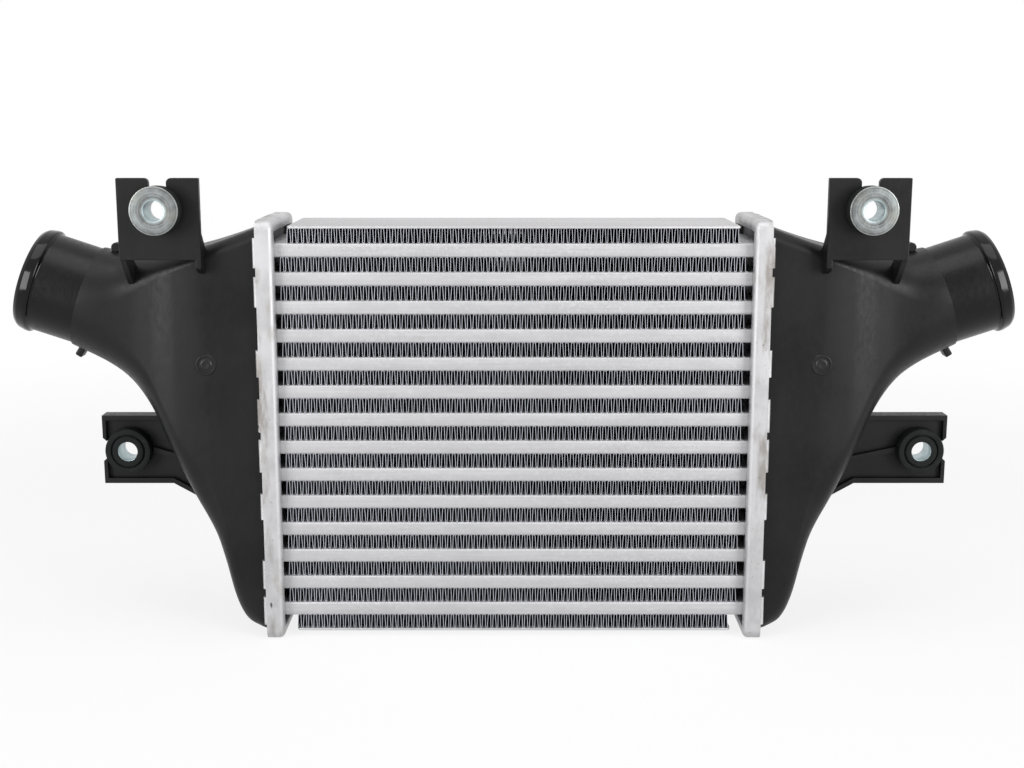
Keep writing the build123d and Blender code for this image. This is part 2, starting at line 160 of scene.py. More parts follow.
class Shader:
    """A material under construction, with short calls for the nodes that the finishes need."""

    def __init__(self, name, colour, roughness, metallic=0.0):
        self.material = bpy.data.materials.new(name)
        self.material.use_nodes = True
        self.tree = self.material.node_tree
        self.surface = self.tree.nodes["Principled BSDF"]
        self.set_input("Base Color", (*colour, 1.0))
        self.set_input("Roughness", roughness)
        self.set_input("Metallic", metallic)

    def set_input(self, name, value):
        self.surface.inputs[name].default_value = value

    def node(self, kind, inputs=(), **settings):
        return new_node(self.tree, kind, inputs, **settings)

    def join(self, source, name):
        self.tree.links.new(source, self.surface.inputs[name])

    def place(self, centre=(0, 0, 0), scale=(1, 1, 1), turn=(0, 0, 0)):
        """Object coordinates, centred, turned and stretched."""
        coordinates = self.node("ShaderNodeTexCoord").outputs["Object"]
        moved = self.node("ShaderNodeMapping", {"Vector": coordinates, "Location": [-c for c in centre]})
        return self.node("ShaderNodeMapping", {
            "Vector": moved.outputs["Vector"], "Rotation": turn, "Scale": scale}).outputs["Vector"]

    def noise(self, vector, scale, detail=3.0, rough=0.5):
        return self.node("ShaderNodeTexNoise", {
            "Vector": vector, "Scale": scale, "Detail": detail, "Roughness": rough}).outputs["Fac"]

    def spread(self, value, low, high, to_low=0.0, to_high=1.0):
        """Map a value from one range to another, with soft ends."""
        return self.node("ShaderNodeMapRange", {
            "Value": value, "From Min": low, "From Max": high, "To Min": to_low, "To Max": to_high},
            interpolation_type="SMOOTHSTEP").outputs["Result"]

    def math(self, operation, a, b=0.0):
        return self.node("ShaderNodeMath", {0: a, 1: b}, operation=operation).outputs["Value"]

    def blend(self, share, first, second):
        """Colour between two others, each a socket or a value."""
        made = self.node("ShaderNodeMix", data_type="RGBA")
        for index, value in ((0, share), (6, first), (7, second)):
            if isinstance(value, bpy.types.NodeSocket):
                self.tree.links.new(value, made.inputs[index])
            else:
                made.inputs[index].default_value = value if index == 0 else (*value[:3], 1.0)
        return made.outputs[2]

    def relief(self, height, strength, distance, under=None):
        """Fine surface grain, on top of another one if given."""
        inputs = {"Height": height, "Strength": strength, "Distance": distance}
        if under is not None:
            inputs["Normal"] = under
        return self.node("ShaderNodeBump", inputs).outputs["Normal"]


def shade(colour, factor):
    """Colour made darker or lighter, no channel above 1."""
    return tuple(min(c * factor, 1.0) for c in colour)


def moulded_plastic(colour):
    """Black glass-filled plastic: grained body, smoother spigot and a polished bead."""
    spigot_blend = (-0.2 * MM, 0.2 * MM)
    bead_blend = (23.2 * MM, 23.9 * MM)
    s = Shader("moulded_plastic", colour, 0.5)
    s.set_input("Specular IOR Level", 0.22)
    plain = s.place()
    cloud = s.noise(plain, 30, 4)
    fibre = s.noise(s.place(scale=(1, 1, 0.45), turn=(0, 0.5, 0)), 520, 3, 0.6)
    mixed = s.blend(s.spread(cloud, 0.35, 0.68), shade(colour, 0.78), shade(colour, 1.35))
    mixed = s.blend(s.spread(fibre, 0.62, 0.80, 0.0, 0.55), mixed, shade(colour, 2.3))
    split = s.node("ShaderNodeSeparateXYZ", {"Vector": plain}).outputs
    outward = s.math("ABSOLUTE", split["X"])
    along = s.math("ADD", s.math("MULTIPLY", s.math("SUBTRACT", outward, NECK_X), cos(SPIGOT_TILT)),
                   s.math("MULTIPLY", s.math("SUBTRACT", split["Z"], NECK_Z), sin(SPIGOT_TILT)))
    spigot = s.spread(along, *spigot_blend)
    bead = s.spread(along, *bead_blend)
    s.join(s.blend(s.math("MULTIPLY", spigot, 0.75), mixed, shade(colour, 0.3)), "Base Color")
    grain = s.spread(fibre, 0.3, 0.75, 0.35, 0.47)
    grain = s.math("ADD", grain, s.spread(cloud, 0.3, 0.7, -0.03, 0.05))
    rough = s.math("SUBTRACT", grain, s.math("MULTIPLY", spigot, 0.10))
    rough = s.math("SUBTRACT", rough, s.math("MULTIPLY", bead, 0.20))
    s.join(rough, "Roughness")
    fine = s.noise(plain, 1900, 2, 0.6)
    strength = s.math("SUBTRACT", 0.34, s.math("MULTIPLY", spigot, 0.2))
    strength = s.math("SUBTRACT", strength, s.math("MULTIPLY", bead, 0.12))
    wide = s.relief(s.noise(plain, 42, 2), 0.22, 0.5 * MM)
    s.join(s.relief(fine, strength, 0.12 * MM, wide), "Normal")
    return s.material


def gate_plastic(colour):
    """Smooth black plastic of the gate mark."""
    s = Shader("gate_plastic", shade(colour, 0.6), 0.36)
    s.set_input("Specular IOR Level", 0.35)
    s.join(s.relief(s.noise(s.place(), 320, 2), 0.35, 0.3 * MM), "Normal")
    return s.material


def bush_rubber(colour):
    """Matt black rubber with faint dusty patches."""
    s = Shader("bush_rubber", colour, 0.72)
    s.set_input("Specular IOR Level", 0.12)
    plain = s.place()
    dust = s.noise(plain, 150, 4)
    s.join(s.blend(s.spread(dust, 0.45, 0.75), shade(colour, 0.85), shade(colour, 1.6)), "Base Color")
    s.join(s.spread(dust, 0.3, 0.7, 0.62, 0.80), "Roughness")
    s.join(s.relief(s.noise(plain, 2600, 2), 0.35, 0.08 * MM), "Normal")
    return s.material


def zinc_plate(name, colour, centre):
    """Zinc plating on a turned sleeve: fine rings round its bore, cloudy patches and a yellow cast."""
    rim_blend, rim_grey = (11.6 * MM, 12.4 * MM), (0.33, 0.34, 0.32)
    bore_blend, bore_blue = (5.5 * MM, 6.3 * MM), (0.42, 0.52, 0.54)
    s = Shader(name, colour, 0.36, 1.0)
    here = s.place(centre=centre)
    flat = s.place(centre=centre, scale=(1, 0, 1))
    radius = s.node("ShaderNodeVectorMath", {0: flat}, operation="LENGTH").outputs["Value"]
    rings = s.node("ShaderNodeTexNoise", {"W": radius, "Scale": 3200.0, "Detail": 2.0},
                   noise_dimensions="1D").outputs["Fac"]
    cloud = s.noise(here, 260, 5, 0.65)
    patch = s.noise(here, 95, 3)
    wear = s.noise(s.node("ShaderNodeCombineXYZ", {"X": radius}).outputs["Vector"], 900, 2)
    mixed = s.blend(s.spread(cloud, 0.36, 0.66), shade(colour, 0.80), shade(colour, 1.22))
    mixed = s.blend(s.spread(wear, 0.40, 0.62, 0.0, 0.75), mixed, shade(colour, 1.6))
    mixed = s.blend(s.spread(wear, 0.46, 0.34, 0.0, 0.6), mixed, shade(colour, 0.5))
    yellow = (colour[0] * 1.10, colour[1] * 1.06, colour[2] * 0.88)
    mixed = s.blend(s.spread(patch, 0.45, 0.70, 0.0, 0.5), mixed, yellow)
    mixed = s.blend(s.spread(radius, *rim_blend, 0.0, 0.55), mixed, rim_grey)
    mixed = s.blend(s.spread(radius, *bore_blend, 0.8, 0.0), mixed, bore_blue)
    s.join(mixed, "Base Color")
    rough = s.math("ADD", s.spread(cloud, 0.3, 0.7, 0.30, 0.50), s.spread(rings, 0.3, 0.7, -0.04, 0.06))
    s.join(rough, "Roughness")
    worn = s.relief(cloud, 0.25, 0.10 * MM)
    s.join(s.relief(rings, 0.18, 0.05 * MM, worn), "Normal")
    return s.material


def drawn_aluminium(colour):
    """Bare drawn sheet with flux stains, smudges and pits on the crimp, and painted shade on the recessed
    web between the tubes.
    """
    stain_grey, speck_grey = (0.36, 0.352, 0.335), (0.28, 0.27, 0.26)
    smudge_brown, pit_black, web_painted_shade = (0.235, 0.215, 0.195), (0.05, 0.045, 0.04), (0.03, 0.03, 0.035)
    crimp_blend, web_blend = (129.5 * MM, 132.5 * MM), (126.2 * MM, 128.5 * MM)
    web_side, web_foot, web_head = (32.6 * MM, 33.2 * MM), (4 * MM, 5 * MM), (223 * MM, 224 * MM)
    s = Shader("drawn_aluminium", colour, 0.5, 1.0)
    plain = s.place()
    cloud = s.noise(plain, 60, 5, 0.6)
    stain = s.noise(s.place(scale=(1.6, 1, 0.6)), 105, 4, 0.55)
    speck = s.noise(plain, 520, 2)
    mixed = s.blend(s.spread(cloud, 0.35, 0.65), shade(colour, 0.93), shade(colour, 1.06))
    mixed = s.blend(s.spread(stain, 0.52, 0.70, 0.0, 0.7), mixed, stain_grey)
    mixed = s.blend(s.spread(speck, 0.66, 0.76, 0.0, 0.6), mixed, speck_grey)
    split = s.node("ShaderNodeSeparateXYZ", {"Vector": plain}).outputs
    outward = s.math("ABSOLUTE", split["X"])
    crimp = s.spread(outward, *crimp_blend)
    smear = s.noise(s.place(scale=(1.2, 1, 0.35)), 75, 4, 0.6)
    smudge = s.math("MULTIPLY", crimp, s.spread(smear, 0.46, 0.66, 0.0, 0.75))
    mixed = s.blend(smudge, mixed, smudge_brown)
    pit = s.noise(s.place(scale=(1, 1, 0.6)), 230, 1)
    mixed = s.blend(s.math("MULTIPLY", crimp, s.spread(pit, 0.74, 0.79, 0.0, 0.85)), mixed, pit_black)
    # Painted shade: the recessed web between the tubes is darkened almost to black.
    across = s.math("ABSOLUTE", s.math("SUBTRACT", split["Y"], MIDDLE_Y))
    web = s.math("MULTIPLY", s.spread(across, *web_side, 1.0, 0.0), s.spread(outward, *web_blend))
    web = s.math("MULTIPLY", web, s.spread(split["Z"], *web_foot))
    web = s.math("MULTIPLY", web, s.spread(split["Z"], *web_head, 1.0, 0.0))
    mixed = s.blend(s.math("MULTIPLY", web, 0.85), mixed, web_painted_shade)
    s.join(mixed, "Base Color")
    rough = s.math("ADD", s.spread(cloud, 0.3, 0.7, 0.50, 0.66), s.math("MULTIPLY", smudge, 0.2))
    s.join(rough, "Roughness")
    dents = s.relief(s.noise(plain, 90, 3), 0.25, 0.35 * MM)
    s.join(s.relief(s.noise(plain, 1500, 2), 0.18, 0.06 * MM, dents), "Normal")
    return s.material


def tube_aluminium(colour):
    """Extruded tube with faint lines along it, a few marks and grey bloom from the furnace."""
    mark_grey = (0.33, 0.32, 0.33)
    s = Shader("tube_aluminium", colour, 0.5, 1.0)
    plain = s.place()
    lines = s.noise(s.place(scale=(0.02, 1, 1)), 1100, 3, 0.6)
    bands = s.noise(s.place(scale=(0.05, 1, 1)), 260, 2)
    bloom = s.noise(s.place(scale=(0.5, 1, 1)), 70, 5, 0.6)
    marks = s.noise(s.place(scale=(1, 1, 0.35)), 340, 2)
    mixed = s.blend(s.spread(lines, 0.3, 0.7), shade(colour, 0.95), shade(colour, 1.05))
    mixed = s.blend(s.spread(bands, 0.35, 0.65, 0.0, 0.5), mixed, shade(colour, 0.90))
    mixed = s.blend(s.spread(bloom, 0.46, 0.70, 0.0, 0.7), mixed, shade(colour, 0.88))
    frost = s.noise(plain, 620, 3, 0.7)
    mixed = s.blend(s.spread(frost, 0.50, 0.72, 0.0, 0.5), mixed, shade(colour, 1.16))
    mixed = s.blend(s.spread(marks, 0.72, 0.79, 0.0, 0.6), mixed, mark_grey)
    s.join(mixed, "Base Color")
    rough = s.math("ADD", s.spread(bloom, 0.3, 0.7, 0.48, 0.64), s.spread(frost, 0.4, 0.7, 0.0, 0.1))
    s.join(rough, "Roughness")
    s.join(s.relief(frost, 0.30, 0.10 * MM, s.relief(lines, 0.20, 0.06 * MM)), "Normal")
    return s.material


def fin_aluminium(colour):
    """Thin bright strip with the fine louvre lines pressed into it, and painted shade deep between the
    tubes.
    """
    rim_blend = (CORE_HALF - 6 * MM, CORE_HALF - 1.5 * MM)
    s = Shader("fin_aluminium", colour, 0.34, 1.0)
    plain = s.place()
    cloud = s.noise(plain, 120, 3)
    louvres = s.node("ShaderNodeTexWave", {"Vector": plain, "Scale": 320.0, "Distortion": 0.0},
                     bands_direction="Y").outputs["Fac"]
    split = s.node("ShaderNodeSeparateXYZ", {"Vector": plain}).outputs
    across = s.math("ABSOLUTE", s.math("SUBTRACT", split["Y"], MIDDLE_Y))
    rim = s.spread(across, *rim_blend)
    mixed = s.blend(s.spread(cloud, 0.3, 0.7), shade(colour, 0.90), shade(colour, 1.0))
    # Painted shade: the strip is darkened to a third of its colour away from the front and back edges, deep
    # between the tubes.
    s.join(s.blend(rim, shade(colour, 0.30), mixed), "Base Color")
    s.join(s.spread(cloud, 0.3, 0.7, 0.34, 0.40), "Roughness")
    s.join(s.relief(louvres, 0.5, 0.12 * MM), "Normal")
    return s.material


# Small helpers for meshes

def finished(bm, name, material, smooth_below=radians(35)):
    """Turn a bmesh into a piece that rides on the part, shaded smooth up to an angle."""
    for face in bm.faces:
        face.smooth = True
    for edge in bm.edges:
        edge.smooth = len(edge.link_faces) == 2 and edge.calc_face_angle(0.0) < smooth_below
    mesh = bpy.data.meshes.new(name)
    bm.to_mesh(mesh)
    bm.free()
    piece = bpy.data.objects.new(name, mesh)
    bpy.context.scene.collection.objects.link(piece)
    mesh.materials.append(material)
    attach(piece, "root")
    return piece


def even_shading(piece):
    """Let broad faces keep their own normals beside small roundings."""
    modifier = piece.modifiers.new("Even shading", "WEIGHTED_NORMAL")
    modifier.keep_sharp = True
    modifier.weight = 90


def stands_for(node):
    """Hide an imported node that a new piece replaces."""
    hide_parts(node)


def block(bm, low, high):
    """Box between two corners; returns its vertices."""
    low, high = Vector(low), Vector(high)
    verts = bmesh.ops.create_cube(bm, size=1.0)["verts"]
    size, centre = high - low, (high + low) / 2
    bmesh.ops.scale(bm, verts=verts, vec=size)
    bmesh.ops.translate(bm, verts=verts, vec=centre)
    return verts


def round_edges(bm, edges, radius, segments):
    """Round edges with a bevel of even width."""
    bmesh.ops.bevel(bm, geom=list(edges), offset=radius, segments=segments, profile=0.5,
                    affect="EDGES", clamp_overlap=True, material=-1)


def runs_along(edge, axis):
    """Whether an edge is parallel to X, Y or Z, given as 0, 1 or 2."""
    line = (edge.verts[1].co - edge.verts[0].co).normalized()
    return abs(line[axis]) > 0.999


def edges_of(verts):
    """All edges that end at any of the vertices."""
    return {edge for vert in verts for edge in vert.link_edges}


def draw_path(bm, start, moves):
    """Chain of edges from a start point by a list of moves; returns its edges."""
    end = bm.verts.new(start)
    chain = []
    for move in moves:
        made = bmesh.ops.extrude_vert_indiv(bm, verts=[end])
        end = made["verts"][0]
        bmesh.ops.translate(bm, verts=[end], vec=move)
        chain += made["edges"]
    return chain


def draw_outline(bm, corners, merge):
    """Closed chain of edges from corner to corner."""
    draw_path(bm, corners[0], [b - a for a, b in zip(corners, corners[1:] + corners[:1])])
    bmesh.ops.remove_doubles(bm, verts=bm.verts, dist=merge)


def spin_round(bm, centre, axis, steps, merge):
    """Turn what is drawn through a full circle and close the seam."""
    bmesh.ops.spin(bm, geom=bm.verts[:] + bm.edges[:], cent=centre, axis=axis, angle=2 * pi,
                   steps=steps, use_merge=True)
    bmesh.ops.remove_doubles(bm, verts=bm.verts, dist=merge)
    bmesh.ops.recalc_face_normals(bm, faces=bm.faces)


def turned_ring(bm, points, centre, steps=72):
    """Closed profile of (radius, y) points turned round a bore that runs along Y."""
    merge = 1e-7
    draw_outline(bm, [Vector((centre[0] + r, y, centre[2])) for r, y in points], merge)
    spin_round(bm, centre, (0, 1, 0), steps, merge)


def eased(share):
    """Soft step from 0 to 1, flat outside that range."""
    share = min(max(share, 0), 1)
    return share * share * (3 - 2 * share)


def bore_centre(low, high):
    """Middle of a piece that is turned round a bore along Y."""
    return Vector(((low.x + high.x) / 2, 0, (low.z + high.z) / 2))


def sharp_edges(bm, least=radians(40)):
    """Edges whose faces meet at more than an angle."""
    return [e for e in bm.edges if len(e.link_faces) == 2 and e.calc_face_angle(0.0) > least]


# Operators, one for each group of pieces

class AddAirFins(bpy.types.Operator):
    """Fold fifteen rows of fine louvred fin in place of the coarse ones"""
    bl_idname = "cooler.air_fins"
    bl_label = "Air fins"

    BANDS = 5
    CALM_ENDS = 3 * MM
    WOBBLE = 0.16 * MM
    WOBBLE_WAVES = ((1.0, 310, 1.7), (0.7, 795, 2.9))

    def execute(self, context):
        sizes, finishes = context.scene.cooler_fins, context.scene.cooler_finishes
        material = fin_aluminium(finishes.fin_aluminium)
        for row in range(1, 16):
            node = f"air_fin_{row:02d}"
            low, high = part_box(node)
            bm = self.folded_row(sizes, low, high, row)
            piece = finished(bm, f"folded_fin_{row:02d}", material)
            stands_for(node)
        return {"FINISHED"}

    def calm(self, x, low, high):
        """1 along the row, falling to 0 at its ends, where the fin stays in its place."""
        return max(min(min(x - low.x, high.x - x) / self.CALM_ENDS, 1), 0)

    def folded_row(self, sizes, low, high, row):
        """Fold a strip up and down, draw it back in louvred bands and bend it a little out of true."""
        half_sheet = sizes.sheet / 2
        length, height = high.x - low.x, high.z - low.z - sizes.sheet
        folds = 2 * round(length / sizes.period)
        step = (length - sizes.sheet) / folds
        lean = step - sizes.crest
        moves = []
        for fold in range(folds):
            up = 1 if fold % 2 == 0 else -1
            moves += [Vector((lean, 0, up * height)), Vector((sizes.crest, 0, 0))]
        bm = bmesh.new()
        start = Vector((low.x + half_sheet, low.y, low.z + half_sheet))
        edges = draw_path(bm, start, moves)
        for band in range(self.BANDS):
            made = bmesh.ops.extrude_edge_only(bm, edges=edges)["geom"]
            verts = [g for g in made if isinstance(g, bmesh.types.BMVert)]
            edges = [g for g in made if isinstance(g, bmesh.types.BMEdge)]
            side = sizes.louvre * (1 if band % 2 == 0 else -1) * (0.5 if band in (0, self.BANDS - 1) else 1)
            bmesh.ops.translate(bm, verts=verts, vec=(0, (high.y - low.y) / self.BANDS, 0))
            for vert in verts:
                vert.co.x += side * self.calm(vert.co.x, low, high)
        fold_lines = [e for e in bm.edges if abs(e.verts[0].co.y - e.verts[1].co.y) > 1 * MM]
        round_edges(bm, fold_lines, sizes.rounding, 2)
        middle = (low.z + high.z) / 2
        for vert in bm.verts:
            x, share = vert.co.x, (vert.co.z - middle) / height
            wobble = sum(part * sin(x * rate + row * shift) for part, rate, shift in self.WOBBLE_WAVES)
            vert.co.x += self.WOBBLE * wobble * (0.4 + share) * self.calm(x, low, high)
        bmesh.ops.solidify(bm, geom=bm.faces[:], thickness=sizes.sheet)
        bmesh.ops.recalc_face_normals(bm, faces=bm.faces)
        return bm


class AddTubes(bpy.types.Operator):
    """Model the flat tubes with rounded noses and open ends"""
    bl_idname = "cooler.tubes"
    bl_label = "Tubes"

    def execute(self, context):
        sizes, finishes = context.scene.cooler_tubes, context.scene.cooler_finishes
        material = tube_aluminium(finishes.bright_aluminium)
        for index in range(1, 15):
            node = f"tube_{index:02d}"
            low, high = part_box(node)
            bm = bmesh.new()
            block(bm, low, high)
            round_edges(bm, [e for e in bm.edges if runs_along(e, 0)], sizes.nose_radius, 5)
            ends = [f for f in bm.faces if abs(f.normal.x) > 0.9]
            bmesh.ops.delete(bm, geom=ends, context="FACES")
            bmesh.ops.recalc_face_normals(bm, faces=bm.faces)
            bmesh.ops.solidify(bm, geom=bm.faces[:], thickness=sizes.wall)
            bmesh.ops.recalc_face_normals(bm, faces=bm.faces)
            piece = finished(bm, f"flat_tube_{index:02d}", material)
            stands_for(node)
        return {"FINISHED"}


class AddHeaderPlates(bpy.types.Operator):
    """Draw the header plates with their rounded edge, recessed web and crimp tabs"""
    bl_idname = "cooler.header_plates"
    bl_label = "Header plates"

    WEB_RISE, LEG_INSET, LEG_EDGE = 4.0 * MM, 6.1 * MM, 0.25 * MM
    AROUND, PER_CORNER, LEAST_RADIUS = 28, 7, 1 * MM
    TAB_REACH, TAB_EDGE, END_TAB_HALF = 3.2 * MM, 0.3 * MM, 20 * MM
    TAB_SPANS = ((2.1, 19.9), (32.0, 46.3), (69.5, 85.3), (90.1, 105.7))

    def execute(self, context):
        sizes, finishes = context.scene.cooler_headers, context.scene.cooler_finishes
        material = drawn_aluminium(finishes.bright_aluminium)
        for side, sign in SIDES:
            node = f"{side}_header_plate"
            bm = self.pan(sizes, *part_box("right_header_plate"))
            if sign < 0:
                bmesh.ops.scale(bm, verts=bm.verts, vec=(-1, 1, 1))
                bmesh.ops.reverse_faces(bm, faces=bm.faces)
            piece = finished(bm, f"{side}_drawn_header", material)
            stands_for(node)
        return {"FINISHED"}

    def pan(self, sizes, low, high):
        """Right-hand plate: drawn shell with its trough and recessed web, then the tabs."""
        rim, sheet, bend = high.x - sizes.sheet, sizes.sheet, sizes.bend
        web, leg, edge = low.x + self.WEB_RISE, self.LEG_INSET, self.LEG_EDGE
        step_angle = 90 / (self.PER_CORNER - 1)
        profile = [(web, leg), (low.x + 4 * edge, leg), (low.x + edge, leg - edge), (low.x, leg - 4 * edge)]
        for k in reversed(range(self.PER_CORNER)):
            turn = radians(step_angle * k)
            profile.append((low.x + bend * (1 - sin(turn)), bend * (1 - cos(turn))))
        profile += [(rim, 0), (rim, sheet), (low.x + sheet, sheet), (low.x + sheet, leg - sheet),
                    (web + sheet, leg - sheet)]
        bm = bmesh.new()
        rows = len(profile) - 1
        centre, half = (low + high) / 2, (high - low) / 2
        verts = bmesh.ops.create_grid(bm, x_segments=self.AROUND, y_segments=rows, size=1)["verts"]
        for vert in verts:
            place = round((vert.co.x + 1) / 2 * self.AROUND) % self.AROUND
            corner, step = divmod(place, self.PER_CORNER)
            x, inset = profile[round((vert.co.y + 1) / 2 * rows)]
            radius = max(sizes.corner - inset, self.LEAST_RADIUS)
            turn = radians(90 * corner + step_angle * step)
            side, level = 1 if corner in (0, 3) else -1, 1 if corner < 2 else -1
            vert.co = Vector((x, centre.y + side * (half.y - inset - radius) + radius * cos(turn),
                              centre.z + level * (half.z - inset - radius) + radius * sin(turn)))
        bmesh.ops.remove_doubles(bm, verts=bm.verts, dist=1e-6)
        bmesh.ops.edgeloop_fill(bm, edges=[e for e in bm.edges if e.is_boundary])
        bmesh.ops.recalc_face_normals(bm, faces=bm.faces)
        middle, reach = (low.z + high.z) / 2, self.TAB_REACH
        for start, end in self.TAB_SPANS:
            above = (middle + start * MM, middle + end * MM)
            below = (middle - end * MM, middle - start * MM)
            for z0, z1 in (above, below):
                self.tab(bm, sizes, (rim, low.y, z0), (high.x, low.y + reach, z1), 1, low.y)
                self.tab(bm, sizes, (rim, high.y - reach, z0), (high.x, high.y, z1), 1, high.y)
        near, far = MIDDLE_Y - self.END_TAB_HALF, MIDDLE_Y + self.END_TAB_HALF
        self.tab(bm, sizes, (rim, near, high.z - reach), (high.x, far, high.z), 2, high.z)
        self.tab(bm, sizes, (rim, near, low.z), (high.x, far, low.z + reach), 2, low.z)
        return bm

    def tab(self, bm, sizes, low, high, axis, outer):
        """One crimp tab with a rounded fold on its outer top edge."""
        verts = block(bm, low, high)
        top = [e for e in edges_of(verts) if all(abs(v.co.x - high[0]) < 1e-6 for v in e.verts)]
        fold = [e for e in top if all(abs(v.co[axis] - outer) < 1e-6 for v in e.verts)]
        corners = [e for e in top if e not in fold]
        round_edges(bm, fold, sizes.tab_fold, 4)
        round_edges(bm, [e for e in corners if e.is_valid], self.TAB_EDGE, 2)


class FinishSidePlates(bpy.types.Operator):
    """Soften the edges of the two sheets that close the core"""
    bl_idname = "cooler.side_plates"
    bl_label = "Side plates"

    CORNER, RIM = 2 * MM, 0.3 * MM

    def execute(self, context):
        material = bpy.data.materials["tube_aluminium"]
        for node in ("top_side_plate", "bottom_side_plate"):
            low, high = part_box(node)
            bm = bmesh.new()
            block(bm, low, high)
            round_edges(bm, [e for e in bm.edges if runs_along(e, 2)], self.CORNER, 3)
            round_edges(bm, sharp_edges(bm, radians(60)), self.RIM, 2)
            piece = finished(bm, node.replace("_plate", "_sheet"), material)
            stands_for(node)
        return {"FINISHED"}


class TankForm:
    """Form of one moulded tank, in millimetres about the core's middle plane, drawn on the right side."""

    WALL, MERGE = 2.6, 1e-3
    FOOT_X, RIM_X = 131.8, 135.3
    HALF_DEPTH, LOW_Z, HIGH_Z = 34.0, 3.5, 225.7
    FLANGE_X, FLANGE_HALF, FLANGE_LOW, FLANGE_HIGH = 129.9, 35.7, 1.8, 227.4
    FLANGE_CORNER, FLANGE_WIDTH = 3.2, 2.5
    NECK_RADIUS, SPIGOT_RADIUS, BORE_RADIUS, SPIGOT_LENGTH = 28.2, 27.2, 24.4, 32.8
    BEAD_HEIGHT, BEAD_LENGTH, BEAD_EDGE = 1.6, 7.5, 0.7
    TOP_FALL = 22.6
    PLATE_WIDTH, PLATE_FRONT, PLATE_BACK, PLATE_BOTTOM = 42.6, -43.0, -39.0, 209.4
    GUSSET, SKIN = 3.2, 0.05
    ARM_HALF, ARM_ROOT, ARM_KNEE, ARM_DROP, ARM_REACH = 19.4, 171.2, 190.7, 11.0, 15.0
    ARM_WEB, ARM_SKIN, ARM_DEPTH, ARM_RIB, ARM_LIP = 4, 0.6, 10, 3, 2.2
    BRACE_DEPTH, BRACE_END, BRACE_HALF = 9.8, 12.8, 1.5
    WEB_EDGE, RIB_EDGE = 0.25, 0.3
    SLOT, HOLE, SLOT_STEPS, HOLE_STEPS = 9.2, 9.2, 6, 28
    REST_RADIUS, REST_DEPTH, REST_UP, REST_BACK = 2.6, 8, 2.7, 6.8
    LUG_BACK, LUG_LEAN = 4.5, radians(14)
    BEND_X, BEND_Z, BEND_LEAN, BEND_DEPTH = 165.5, 202.0, radians(9.2), 2.8
    BEND_RUN, BEND_FLAT, BEND_FADE = 21, 28, 34
    AROUND, ALONG, LEAST_CORNER = 36, 52, 1.5

    # Sections between foot and neck, as in the solid: place along the top line; share of the reach and
    # of the rise of the bottom point; share of the way to the neck's depth; the corners' two sizes above
    # and below.
    STATIONS = (
        (0.00, 0.000, 0.000, 0.00, 7, 7, 7, 7),
        (0.04, 0.040, 0.006, 0.00, 7, 7, 8, 9),
        (0.10, 0.113, 0.034, 0.00, 7, 7, 9, 20),
        (0.17, 0.168, 0.107, 0.00, 7, 7, 10, 30),
        (0.24, 0.219, 0.245, 0.00, 8, 8, 11, 36),
        (0.31, 0.268, 0.350, 0.01, 9, 8, 12, 34),
        (0.40, 0.373, 0.485, 0.06, 11, 9, 15, 29),
        (0.49, 0.482, 0.635, 0.17, 14, 11, 18, 26),
        (0.58, 0.583, 0.781, 0.36, 18, 14, 21, 25),
        (0.69, 0.690, 0.879, 0.60, 22, 19, 24, 25),
        (0.82, 0.820, 0.942, 0.84, 25.5, 24.5, 26, 26),
        (1.00, 1.000, 1.000, 1.00, 27.8, 27.8, 27.8, 27.8),
    )

    def __init__(self, sizes, bush, lower_bush, top):
        self.edge = sizes.edge / MM
        self.mouth = sizes.mouth / MM
        self.bush_x, self.bush_z = bush
        self.lower_x, self.lower_z = lower_bush
        self.top = top
        self.neck = Vector((NECK_X / MM, 0, NECK_Z / MM))
        self.axis = Vector((cos(SPIGOT_TILT), 0, sin(SPIGOT_TILT)))
        self.across = Vector((-sin(SPIGOT_TILT), 0, cos(SPIGOT_TILT)))
        self.rows = self.sections()

    def sections(self):
        """Top point, bottom point, half depth and corners of every section; the first stands in the foot."""
        top_end = self.neck + self.across * self.NECK_RADIUS
        low_end = self.neck - self.across * self.NECK_RADIUS
        fall, rise = -tan(radians(self.TOP_FALL)), tan(SPIGOT_TILT)
        x0, z0 = self.RIM_X, self.HIGH_Z
        x1 = (top_end.z - z0 + fall * x0 - rise * top_end.x) / (fall - rise)
        z1 = z0 + fall * (x1 - x0)
        rows = []
        for t, reach, lift, share, *corners in self.STATIONS:
            a, b, c = (1 - t) ** 2, 2 * t * (1 - t), t ** 2
            top = (a * x0 + b * x1 + c * top_end.x, a * z0 + b * z1 + c * top_end.z)
            low = (self.RIM_X + reach * (low_end.x - self.RIM_X),
                   self.LOW_Z + lift * (low_end.z - self.LOW_Z))
            half = self.HALF_DEPTH + share * (self.NECK_RADIUS - self.HALF_DEPTH)
            rows.append((*top, *low, half, *corners))
        foot = (self.FOOT_X, self.HIGH_Z, self.FOOT_X, self.LOW_Z, *rows[0][4:])
        return [foot] + rows

    def row(self, along):
        """Section values from 0 at the foot to 1 at the neck, on a smooth curve through the rows."""
        last = len(self.rows) - 1
        place = along * last
        index = min(int(place), last - 1)
        t = place - index
        near = [self.rows[min(max(index + k, 0), last)] for k in (-1, 0, 1, 2)]
        return [b + 0.5 * t * (c - a + t * (2 * a - 5 * b + 4 * c - d + t * (3 * (b - c) + d - a)))
                for a, b, c, d in zip(*near)]

